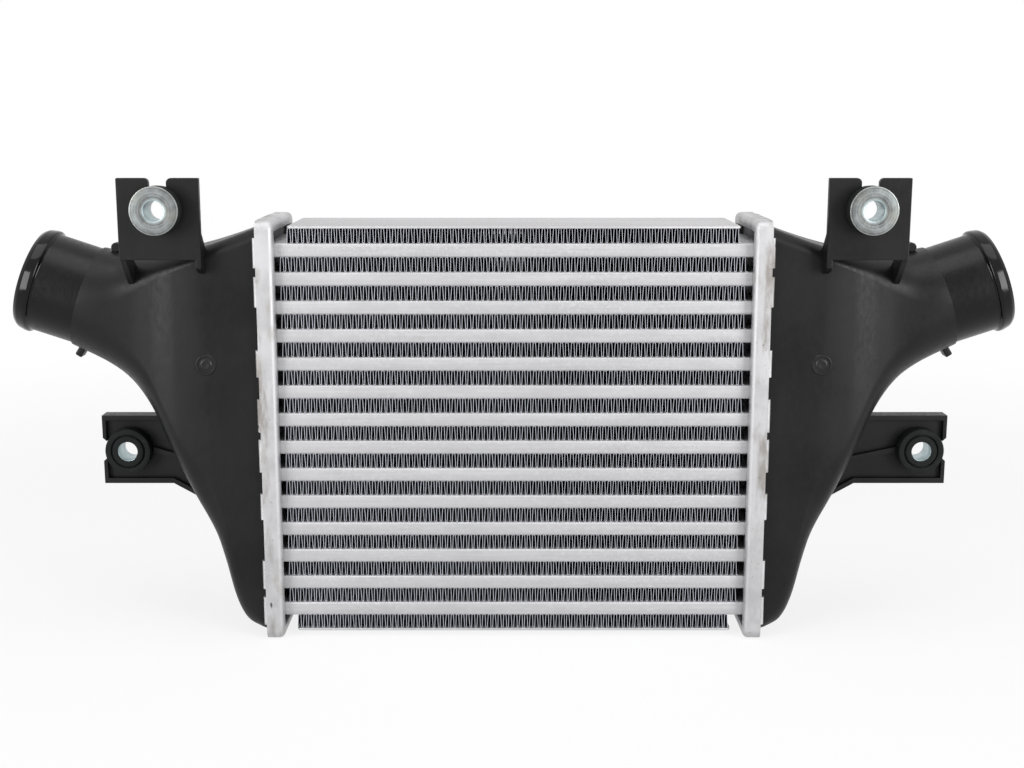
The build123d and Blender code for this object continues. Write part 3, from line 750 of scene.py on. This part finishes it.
    def point(self, around, along, inset):
        """Point of the wall: round the section from 0 to 1 and along the tank from 0 to 1."""
        top_x, top_z, low_x, low_z, half, *corners = self.row(along)
        length = hypot(top_x - low_x, top_z - low_z)
        up_x, up_z = (top_x - low_x) / length, (top_z - low_z) / length
        cut = 1.3 * inset
        length, half = length - 2 * cut, half - inset
        top_y, top_s, low_y, low_s = [max(c - inset, self.LEAST_CORNER) for c in corners]
        quarter = self.AROUND // 4
        corner, step = divmod(round(around * self.AROUND) % self.AROUND, quarter)
        angle = radians(90 * (corner + step / (quarter - 1)))
        size_y, size_s = (top_y, top_s) if corner < 2 else (low_y, low_s)
        side = 1 if corner in (0, 3) else -1
        level = cut + (length - size_s if corner < 2 else size_s) + size_s * sin(angle)
        x, z = low_x + level * up_x, low_z + level * up_z
        y = (side * (half - size_y) + size_y * cos(angle)) * (1 - self.hollow(x, z) / half)
        return Vector((x, y, z))

    def hollow(self, x, z):
        """How far the front and back walls dip along the slanting line where they bend towards the neck."""
        past = (x - self.BEND_X) * cos(self.BEND_LEAN) + (z - self.BEND_Z) * sin(self.BEND_LEAN)
        fade = 1 - eased((past - self.BEND_FLAT) / self.BEND_FADE)
        return self.BEND_DEPTH * eased(past / self.BEND_RUN) * fade

    def body(self, bm):
        """Smooth wall with its inside, closed at the foot and at the neck."""
        for inset in (0.0, self.WALL):
            verts = bmesh.ops.create_grid(bm, x_segments=self.AROUND, y_segments=self.ALONG, size=1)["verts"]
            for vert in verts:
                vert.co = self.point((vert.co.x + 1) / 2, (vert.co.y + 1) / 2, inset)
        bmesh.ops.remove_doubles(bm, verts=bm.verts, dist=self.MERGE)
        rims = [e for e in bm.edges if e.is_boundary]
        foot = [e for e in rims if all(abs(v.co.x - self.FOOT_X) < 0.1 for v in e.verts)]
        bmesh.ops.bridge_loops(bm, edges=foot)
        bmesh.ops.bridge_loops(bm, edges=[e for e in rims if e not in foot])

    def foot(self, bm):
        """Ring that the crimp tabs hold, with the lip that presses on the rubber ring."""
        half = self.FLANGE_HALF
        verts = block(bm, (self.FLANGE_X, -half, self.FLANGE_LOW), (self.RIM_X, half, self.FLANGE_HIGH))
        round_edges(bm, [e for e in edges_of(verts) if runs_along(e, 0)], self.FLANGE_CORNER, 3)
        ends = [f for f in bm.faces if abs(f.normal.x) > 0.9]
        bmesh.ops.inset_individual(bm, faces=ends, thickness=self.FLANGE_WIDTH, use_even_offset=True)
        rims = {e for f in ends for e in f.edges}
        bmesh.ops.delete(bm, geom=ends, context="FACES_ONLY")
        bmesh.ops.bridge_loops(bm, edges=list(rims))

    def spigot(self, bm):
        """Turned hose connection with its bead."""
        r, bore, end = self.SPIGOT_RADIUS, self.BORE_RADIUS, self.SPIGOT_LENGTH
        crest, start = r + self.BEAD_HEIGHT, end - self.BEAD_LENGTH
        profile = ((bore, -1), (r, -1), (r, start - 1.2), (crest, start - 0.2), (crest, start + 1.6),
                   (r + 0.9, start + 5.2), (r - 0.8, end), (bore, end))
        corners = [self.neck + self.across * radius + self.axis * along for radius, along in profile]
        draw_outline(bm, corners, self.MERGE)
        spin_round(bm, self.neck, self.axis, 96, self.MERGE)
        round_edges(bm, sharp_edges(bm, radians(20)), self.BEAD_EDGE, 3)

    def slot_path(self, reach):
        """Hole at the origin with a slot that opens upwards at a distance, from right to left."""
        half, m = self.SLOT / 2, self.mouth
        right = []
        for k in range(self.SLOT_STEPS + 1):
            turn = radians(90 + 90 * k / self.SLOT_STEPS)
            right.append((half + m + m * cos(turn), reach - m + m * sin(turn)))
        start = atan2(sqrt(self.HOLE ** 2 - half ** 2), half)
        ring = []
        for k in range(self.HOLE_STEPS + 1):
            turn = start - (pi + 2 * start) * k / self.HOLE_STEPS
            ring.append((self.HOLE * cos(turn), self.HOLE * sin(turn)))
        return right + ring + [(-u, v) for u, v in reversed(right)]

    def panel(self, bm, outline, start, depth, side_view=False, soft=None):
        """Plate of even thickness from (x, z) points seen from the front or (y, z) points from the side."""
        corners = [Vector((start, a, b)) if side_view else Vector((a, start, b)) for a, b in outline]
        draw_outline(bm, corners, self.MERGE)
        face = bmesh.ops.contextual_create(bm, geom=bm.edges[:])["faces"]
        made = bmesh.ops.extrude_face_region(bm, geom=face)["geom"]
        step = (depth, 0, 0) if side_view else (0, depth, 0)
        bmesh.ops.translate(bm, verts=[g for g in made if isinstance(g, bmesh.types.BMVert)], vec=step)
        bmesh.ops.recalc_face_normals(bm, faces=bm.faces)
        round_edges(bm, sharp_edges(bm, radians(50)), soft or self.edge, 2)

    def upper_plate(self, bm):
        """Plate in front of the tank with its open slot."""
        left, right = self.bush_x - self.PLATE_WIDTH / 2, self.bush_x + self.PLATE_WIDTH / 2
        slot = [(self.bush_x + u, self.bush_z + v) for u, v in self.slot_path(self.top - self.bush_z)]
        outline = [(left, self.PLATE_BOTTOM), (right, self.PLATE_BOTTOM), (right, self.top), *slot,
                   (left, self.top)]
        self.panel(bm, outline, self.PLATE_FRONT, self.PLATE_BACK - self.PLATE_FRONT)

    def gusset_lines(self):
        """Front and back of a gusset, the tank's front wall and the lower edge of the plate."""
        return self.PLATE_FRONT + self.SKIN, self.PLATE_BACK - 1, -self.HALF_DEPTH, self.PLATE_BOTTOM

    def inner_gusset(self, bm):
        """Web on the core side of the upper plate."""
        front, back, wall, low = self.gusset_lines()
        points = [(back, low + 16), (back + 1, low + 14), (wall + 6, low + 3), (wall + 6, low - 12),
                  (wall, low - 8), (front + 2, low - 6), (front, low - 4), (front, low + 2), (back, low + 2)]
        self.panel(bm, points, self.bush_x - self.PLATE_WIDTH / 2 + self.SKIN, self.GUSSET, side_view=True)

    def outer_gusset(self, bm):
        """Web on the spigot side of the upper plate."""
        front, back, wall, low = self.gusset_lines()
        points = [(back, low + 11), (back + 1, low + 9), (wall + 14, low - 5), (wall + 14, low - 16),
                  (wall + 6, low - 14), (front + 5, low - 4), (front, low + 2), (back, low + 2)]
        start = self.bush_x + self.PLATE_WIDTH / 2 - self.SKIN - self.GUSSET
        self.panel(bm, points, start, self.GUSSET, side_view=True)

    def arm_plate(self, bm):
        """Web of the lower arm with its open slot."""
        edge, skin = self.lower_x + self.ARM_REACH, self.ARM_SKIN
        low, high = self.lower_z - self.ARM_HALF + skin, self.lower_z + self.ARM_HALF - skin
        slot = [(self.lower_x + v, self.lower_z - u) for u, v in self.slot_path(self.ARM_REACH - skin)]
        outline = [(edge - skin, low), *slot, (edge - skin, high), (self.ARM_ROOT, high),
                   (self.ARM_ROOT, low - self.ARM_DROP), (self.ARM_KNEE, low)]
        self.panel(bm, outline, -self.ARM_WEB / 2, self.ARM_WEB, soft=self.WEB_EDGE)

    def arm_rim_above(self, bm):
        """Upper rib of the lower arm, down to the slot."""
        edge, z = self.lower_x + self.ARM_REACH, self.lower_z
        inner, lip, high, rib = edge - self.ARM_LIP, self.SLOT / 2, z + self.ARM_HALF, self.ARM_RIB
        outline = [(edge, z + lip + 2), (edge, high), (self.ARM_ROOT, high), (self.ARM_ROOT, high - rib),
                   (inner, high - rib), (inner, z + lip)]
        self.rib(bm, outline)

    def arm_rim_below(self, bm):
        """Lower rib of the lower arm, up to the slot."""
        edge, z = self.lower_x + self.ARM_REACH, self.lower_z
        inner, lip, low, rib = edge - self.ARM_LIP, self.SLOT / 2, z - self.ARM_HALF, self.ARM_RIB
        root_low = low - self.ARM_DROP
        outline = [(edge, low), (edge, z - lip - 2), (inner, z - lip), (inner, low + rib),
                   (self.ARM_KNEE, low + rib), (self.ARM_ROOT, root_low + rib), (self.ARM_ROOT, root_low),
                   (self.ARM_KNEE, low)]
        self.rib(bm, outline)

    def rib(self, bm, outline):
        """Rib of the full depth of the lower arm."""
        self.panel(bm, outline, -self.ARM_DEPTH / 2, self.ARM_DEPTH, soft=self.RIB_EDGE)

    def arm_brace(self, bm):
        """Slanted rib from the tank to the lower bush."""
        low = self.lower_z - self.ARM_HALF + self.ARM_RIB
        beside, half = self.lower_x - self.BRACE_END, self.BRACE_HALF
        outline = [(self.ARM_ROOT, low + 9), (self.ARM_ROOT, low + 6), (beside, self.lower_z - half),
                   (beside, self.lower_z + half)]
        self.panel(bm, outline, -self.BRACE_DEPTH / 2, self.BRACE_DEPTH, soft=self.RIB_EDGE)

    def set_on_neck(self, bm, up, back, lean=0.0):
        """Lean a small piece and move it to its place: up from the spigot's axis and back from its start."""
        bmesh.ops.rotate(bm, verts=bm.verts, cent=(0, 0, 0), matrix=Matrix.Rotation(-lean, 3, "Y"))
        bmesh.ops.translate(bm, verts=bm.verts, vec=self.neck + self.across * up - self.axis * back)

    def nub(self, bm):
        """Small round rest on top of the neck."""
        made = bmesh.ops.create_cone(bm, cap_ends=True, segments=24, radius1=self.REST_RADIUS,
                                     radius2=self.REST_RADIUS, depth=self.REST_DEPTH)
        bmesh.ops.rotate(bm, verts=made["verts"], cent=(0, 0, 0), matrix=Matrix.Rotation(pi / 2, 3, "X"))
        round_edges(bm, sharp_edges(bm), 0.5, 2)
        self.set_on_neck(bm, self.NECK_RADIUS + self.REST_UP, self.REST_BACK)

    def stem(self, bm):
        """Web that joins the round rest to the neck."""
        block(bm, (-1.3, -3.9, -4.5), (1.3, 3.9, 0))
        self.set_on_neck(bm, self.NECK_RADIUS + self.REST_UP, self.REST_BACK, SPIGOT_TILT)

    def lug(self, bm):
        """Stop lug under the neck."""
        block(bm, (-2, -4, -5.5), (2, 4, 5.5))
        round_edges(bm, bm.edges[:], 0.8, 2)
        self.set_on_neck(bm, -self.NECK_RADIUS, self.LUG_BACK, SPIGOT_TILT + self.LUG_LEAN)

    def whole(self, sign):
        """All parts of the moulding together, in metres and in their place."""
        together = bmesh.new()
        parts = (self.body, self.foot, self.spigot, self.upper_plate, self.inner_gusset, self.outer_gusset,
                 self.arm_plate, self.arm_rim_above, self.arm_rim_below, self.arm_brace, self.nub,
                 self.stem, self.lug)
        for part in parts:
            bm = bmesh.new()
            part(bm)
            bmesh.ops.recalc_face_normals(bm, faces=bm.faces)
            passed_on = bpy.data.meshes.new("part")
            bm.to_mesh(passed_on)
            bm.free()
            together.from_mesh(passed_on)
            bpy.data.meshes.remove(passed_on)
        bmesh.ops.scale(together, verts=together.verts, vec=(sign * MM, MM, MM))
        if sign < 0:
            bmesh.ops.reverse_faces(together, faces=together.faces)
        bmesh.ops.translate(together, verts=together.verts, vec=(0, MIDDLE_Y, 0))
        return together


class AddTanks(bpy.types.Operator):
    """Mould the tanks with smooth walls, soft edges and their gate marks"""
    bl_idname = "cooler.tanks"
    bl_label = "Tanks"

    GATE_X, GATE_Z = 163.9 * MM, 152.8 * MM
    GATE_PROFILE = ((0, -0.3), (1.3, -0.36), (2.1, -0.55), (2.7, -0.4), (3.2, -0.02), (4.1, -0.02),
                    (4.4, -0.45), (4.9, -0.55), (5.3, -0.45), (5.7, 0.02))

    def execute(self, context):
        sizes, finishes = context.scene.cooler_tanks, context.scene.cooler_finishes
        material, smooth = moulded_plastic(finishes.plastic), gate_plastic(finishes.plastic)
        for side, sign in SIDES:
            node = f"{side}_tank"
            bushes = [self.centre(f"{side}_{place}_sleeve") for place in ("upper", "lower")]
            form = TankForm(sizes, *bushes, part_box(node)[1].z / MM)
            piece = finished(form.whole(sign), f"{side}_moulded_tank", material, radians(40))
            even_shading(piece)
            stands_for(node)
            self.gate_mark(sizes, side, sign, smooth)
        return {"FINISHED"}

    @staticmethod
    def centre(node):
        """Distance from the middle and height of a bush, in millimetres."""
        low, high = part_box(node)
        return abs(low.x + high.x) / 2 / MM, (low.z + high.z) / 2 / MM

    def gate_mark(self, sizes, side, sign, material):
        """Shallow ring and button that the mould leaves on the front wall."""
        wall = MIDDLE_Y - TankForm.HALF_DEPTH * MM
        rim = self.GATE_PROFILE[-1][0]
        centre = Vector((sign * self.GATE_X, 0, self.GATE_Z))
        corners = [Vector((centre.x + x * sizes.gate_radius / rim, wall + y * MM, centre.z))
                   for x, y in self.GATE_PROFILE]
        bm = bmesh.new()
        draw_path(bm, corners[0], [b - a for a, b in zip(corners, corners[1:])])
        spin_round(bm, centre, (0, 1, 0), 48, 1e-6)
        front = min(bm.faces, key=lambda f: f.calc_center_median().y)
        if front.normal.y > 0:
            bmesh.ops.reverse_faces(bm, faces=bm.faces)
        piece = finished(bm, f"{side}_gate_mark", material)


class AddBushes(bpy.types.Operator):
    """Turn the rubber bushes and the plated sleeves"""
    bl_idname = "cooler.bushes"
    bl_label = "Bushes"

    HEAD, GROOVE_WIDTH, RUBBER_EDGE = 8.4 * MM, 4 * MM, 0.35 * MM
    OUTER, GROOVE, REAR, RUBBER_BORE, TAPER = 12.5 * MM, 8.9 * MM, 12.4 * MM, 6.95 * MM, 0.4 * MM
    FRONT_HOLE, FRONT_LIP, RIM_DROP = 5.45 * MM, 0.8 * MM, 0.3 * MM
    FRONT_DITCH = ((8.5, 0), (8.7, 1.6), (9.4, 1.6), (9.6, 0.3))
    BORE, SLEEVE, FLANGE, FLANGE_DEPTH, SLEEVE_EDGE = 5.25 * MM, 6.65 * MM, 12.5 * MM, 1.6 * MM, 0.28 * MM

    def execute(self, context):
        finishes = context.scene.cooler_finishes
        rubber = bush_rubber(finishes.rubber)
        for side, _ in SIDES:
            for place in ("upper", "lower"):
                self.grommet(side, place, rubber)
                self.sleeve(side, place, finishes.zinc)
        return {"FINISHED"}

    def grommet(self, side, place, rubber):
        """Rubber bush with its groove; the lower one covers the sleeve's front and has a ditch round it."""
        node = f"{side}_{place}_grommet"
        low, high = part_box(node)
        bore, front, back = self.RUBBER_BORE, low.y, high.y
        groove_start = front + self.HEAD
        groove_end = groove_start + self.GROOVE_WIDTH
        if place == "upper":
            face = [(bore, front), (self.OUTER, front)]
        else:
            hole, lip = self.FRONT_HOLE, front + self.FRONT_LIP
            face = [(bore, lip), (hole, lip), (hole, front)]
            face += [(radius * MM, front + depth * MM) for radius, depth in self.FRONT_DITCH]
            face.append((self.OUTER, front + self.RIM_DROP))
        points = face + [(self.OUTER, groove_start), (self.GROOVE, groove_start), (self.GROOVE, groove_end),
                         (self.REAR, groove_end), (bore + self.TAPER, back), (bore, back)]
        bm = bmesh.new()
        turned_ring(bm, points, bore_centre(low, high))
        round_edges(bm, sharp_edges(bm), self.RUBBER_EDGE, 2)
        piece = finished(bm, f"{side}_{place}_bush", rubber, radians(50))
        stands_for(node)

    def sleeve(self, side, place, colour):
        """Plated sleeve; the upper one has a flange in front."""
        node = f"{side}_{place}_sleeve"
        low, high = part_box(node)
        bore, outer, flange = self.BORE, self.SLEEVE, self.FLANGE
        if place == "upper":
            seat = low.y + self.FLANGE_DEPTH
            front = [(bore, low.y), (flange, low.y), (flange, seat), (outer, seat)]
        else:
            front = [(bore, low.y), (outer, low.y)]
        centre = bore_centre(low, high)
        bm = bmesh.new()
        turned_ring(bm, front + [(outer, high.y), (bore, high.y)], centre)
        round_edges(bm, sharp_edges(bm), self.SLEEVE_EDGE, 3)
        material = zinc_plate(f"zinc_{side}_{place}", colour, centre)
        piece = finished(bm, f"{side}_{place}_plated_sleeve", material, radians(50))
        stands_for(node)


class FinishHiddenPieces(bpy.types.Operator):
    """Give the sheets inside the tubes and the rubber rings their finishes"""
    bl_idname = "cooler.hidden_pieces"
    bl_label = "Hidden pieces"

    def execute(self, context):
        for name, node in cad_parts.items():
            if name.startswith("turbulator"):
                self.paint(node, bpy.data.materials["fin_aluminium"])
            elif name.endswith("gasket"):
                self.paint(node, bpy.data.materials["bush_rubber"])
        return {"FINISHED"}

    @staticmethod
    def paint(node, material):
        for slot in node.material_slots:
            slot.material = material


class SetStage(bpy.types.Operator):
    """White floor, pale surroundings, soft lamps and the camera of the photograph"""
    bl_idname = "cooler.stage"
    bl_label = "Stage"

    FLOOR_RADIUS, FLOOR_WHITE = 6.0, (0.86, 0.86, 0.86, 1)
    FADE = {"From Min": 0.35, "From Max": 1.1, "To Min": 0.82, "To Max": 1.0}
    LAMP_TARGET = Vector((0, 0, 0.12))
    LAMPS = (
        # name, place, width, height, share of the key power
        ("left_softbox", (-1.05, -0.95, 0.42), 0.55, 0.8, 1.1),
        ("right_softbox", (1.05, -0.95, 0.42), 0.55, 0.8, 1.25),
        ("top_softbox", (0.0, -0.25, 1.35), 1.6, 0.8, 0.75),
    )
    CAMERA_X, CLIP_START = -0.001, 0.01

    def execute(self, context):
        settings = context.scene.cooler_stage
        self.floor()
        self.surroundings(context.scene, settings)
        self.lamps(settings)
        self.camera(context.scene, settings)
        context.scene.view_settings.view_transform = "Standard"
        return {"FINISHED"}

    @staticmethod
    def white_for_viewer(tree):
        """1 where the camera, a mirror or clear stuff looks, 0 for light that falls on the part."""
        path = tree.nodes.new("ShaderNodeLightPath").outputs
        total = path["Is Camera Ray"]
        for name in ("Is Glossy Ray", "Is Transmission Ray"):
            larger = new_node(tree, "ShaderNodeMath", {0: total, 1: path[name]}, operation="MAXIMUM")
            total = larger.outputs[0]
        return total

    def floor(self):
        bm = bmesh.new()
        bmesh.ops.create_circle(bm, cap_ends=True, radius=self.FLOOR_RADIUS, segments=96)
        mesh = bpy.data.meshes.new("floor")
        bm.to_mesh(mesh)
        bm.free()
        floor = bpy.data.objects.new("floor", mesh)
        bpy.context.scene.collection.objects.link(floor)
        material = bpy.data.materials.new("white_floor")
        material.use_nodes = True
        tree = material.node_tree
        surface = tree.nodes["Principled BSDF"]
        surface.inputs["Base Color"].default_value = self.FLOOR_WHITE
        surface.inputs["Roughness"].default_value = 0.9
        surface.inputs["Specular IOR Level"].default_value = 0.1
        place = tree.nodes.new("ShaderNodeTexCoord").outputs["Object"]
        away = new_node(tree, "ShaderNodeVectorMath", {0: place}, operation="LENGTH").outputs["Value"]
        fade = new_node(tree, "ShaderNodeMapRange", {"Value": away, **self.FADE},
                        interpolation_type="SMOOTHSTEP")
        share = new_node(tree, "ShaderNodeMath", {0: self.white_for_viewer(tree), 1: fade.outputs["Result"]},
                         operation="MULTIPLY").outputs[0]
        glow = new_node(tree, "ShaderNodeEmission", {"Strength": 1.0}).outputs[0]
        mix = new_node(tree, "ShaderNodeMixShader", {"Fac": share, 1: surface.outputs[0], 2: glow})
        tree.links.new(mix.outputs[0], tree.nodes["Material Output"].inputs["Surface"])
        mesh.materials.append(material)

    def surroundings(self, scene, settings):
        world = bpy.data.worlds.new("pale_surroundings")
        world.use_nodes = True
        tree = world.node_tree
        back = tree.nodes["Background"]
        back.inputs["Color"].default_value = (1, 1, 1, 1)
        level = new_node(tree, "ShaderNodeMapRange", {
            "Value": self.white_for_viewer(tree), "To Min": settings.ambient, "To Max": 1.0})
        tree.links.new(level.outputs["Result"], back.inputs["Strength"])
        scene.world = world

    def lamps(self, settings):
        for name, place, width, height, share in self.LAMPS:
            lamp = bpy.data.lights.new(name, "AREA")
            lamp.shape = "RECTANGLE"
            lamp.size, lamp.size_y = width, height
            lamp.energy = settings.key_power * share
            light = bpy.data.objects.new(name, lamp)
            light.location = place
            light.rotation_euler = (self.LAMP_TARGET - Vector(place)).to_track_quat("-Z", "Y").to_euler()
            bpy.context.scene.collection.objects.link(light)

    def camera(self, scene, settings):
        view = bpy.data.cameras.new("photo_camera")
        view.sensor_fit = "HORIZONTAL"
        view.sensor_width = 36.0
        view.lens = settings.lens
        view.clip_start = self.CLIP_START
        camera = bpy.data.objects.new("photo_camera", view)
        camera.location = (self.CAMERA_X, MIDDLE_Y - settings.camera_y, settings.camera_z)
        camera.rotation_euler = (pi / 2 - settings.pitch, 0, 0)
        scene.collection.objects.link(camera)
        scene.camera = camera


class CoolerPanel(bpy.types.Panel):
    """Lists the steps that dress the intercooler"""
    bl_idname = "COOLER_PT_looks"
    bl_label = "Intercooler"
    bl_space_type = "VIEW_3D"
    bl_region_type = "UI"
    bl_category = "Intercooler"

    def draw(self, context):
        for step in STEPS:
            self.layout.operator(step.bl_idname)
        for name in SETTINGS:
            group = getattr(context.scene, name)
            box = self.layout.box()
            for key in group.__annotations__:
                box.prop(group, key)


STEPS = (AddAirFins, AddTubes, AddHeaderPlates, FinishSidePlates, AddTanks, AddBushes, FinishHiddenPieces,
         SetStage)
SETTINGS = {
    "cooler_fins": FinSizes,
    "cooler_tubes": TubeSizes,
    "cooler_headers": HeaderSizes,
    "cooler_tanks": TankSizes,
    "cooler_finishes": Finishes,
    "cooler_stage": StageSettings,
}


def register():
    for name, group in SETTINGS.items():
        bpy.utils.register_class(group)
        setattr(bpy.types.Scene, name, bpy.props.PointerProperty(type=group))
    for step in STEPS:
        bpy.utils.register_class(step)
    bpy.utils.register_class(CoolerPanel)


def unregister():
    bpy.utils.unregister_class(CoolerPanel)
    for step in reversed(STEPS):
        bpy.utils.unregister_class(step)
    for name, group in SETTINGS.items():
        delattr(bpy.types.Scene, name)
        bpy.utils.unregister_class(group)


def main():
    register()
    bpy.ops.cooler.air_fins()
    bpy.ops.cooler.tubes()
    bpy.ops.cooler.header_plates()
    bpy.ops.cooler.side_plates()
    bpy.ops.cooler.tanks()
    bpy.ops.cooler.bushes()
    bpy.ops.cooler.hidden_pieces()
    bpy.ops.cooler.stage()


if __name__ == "__main__":
    main()
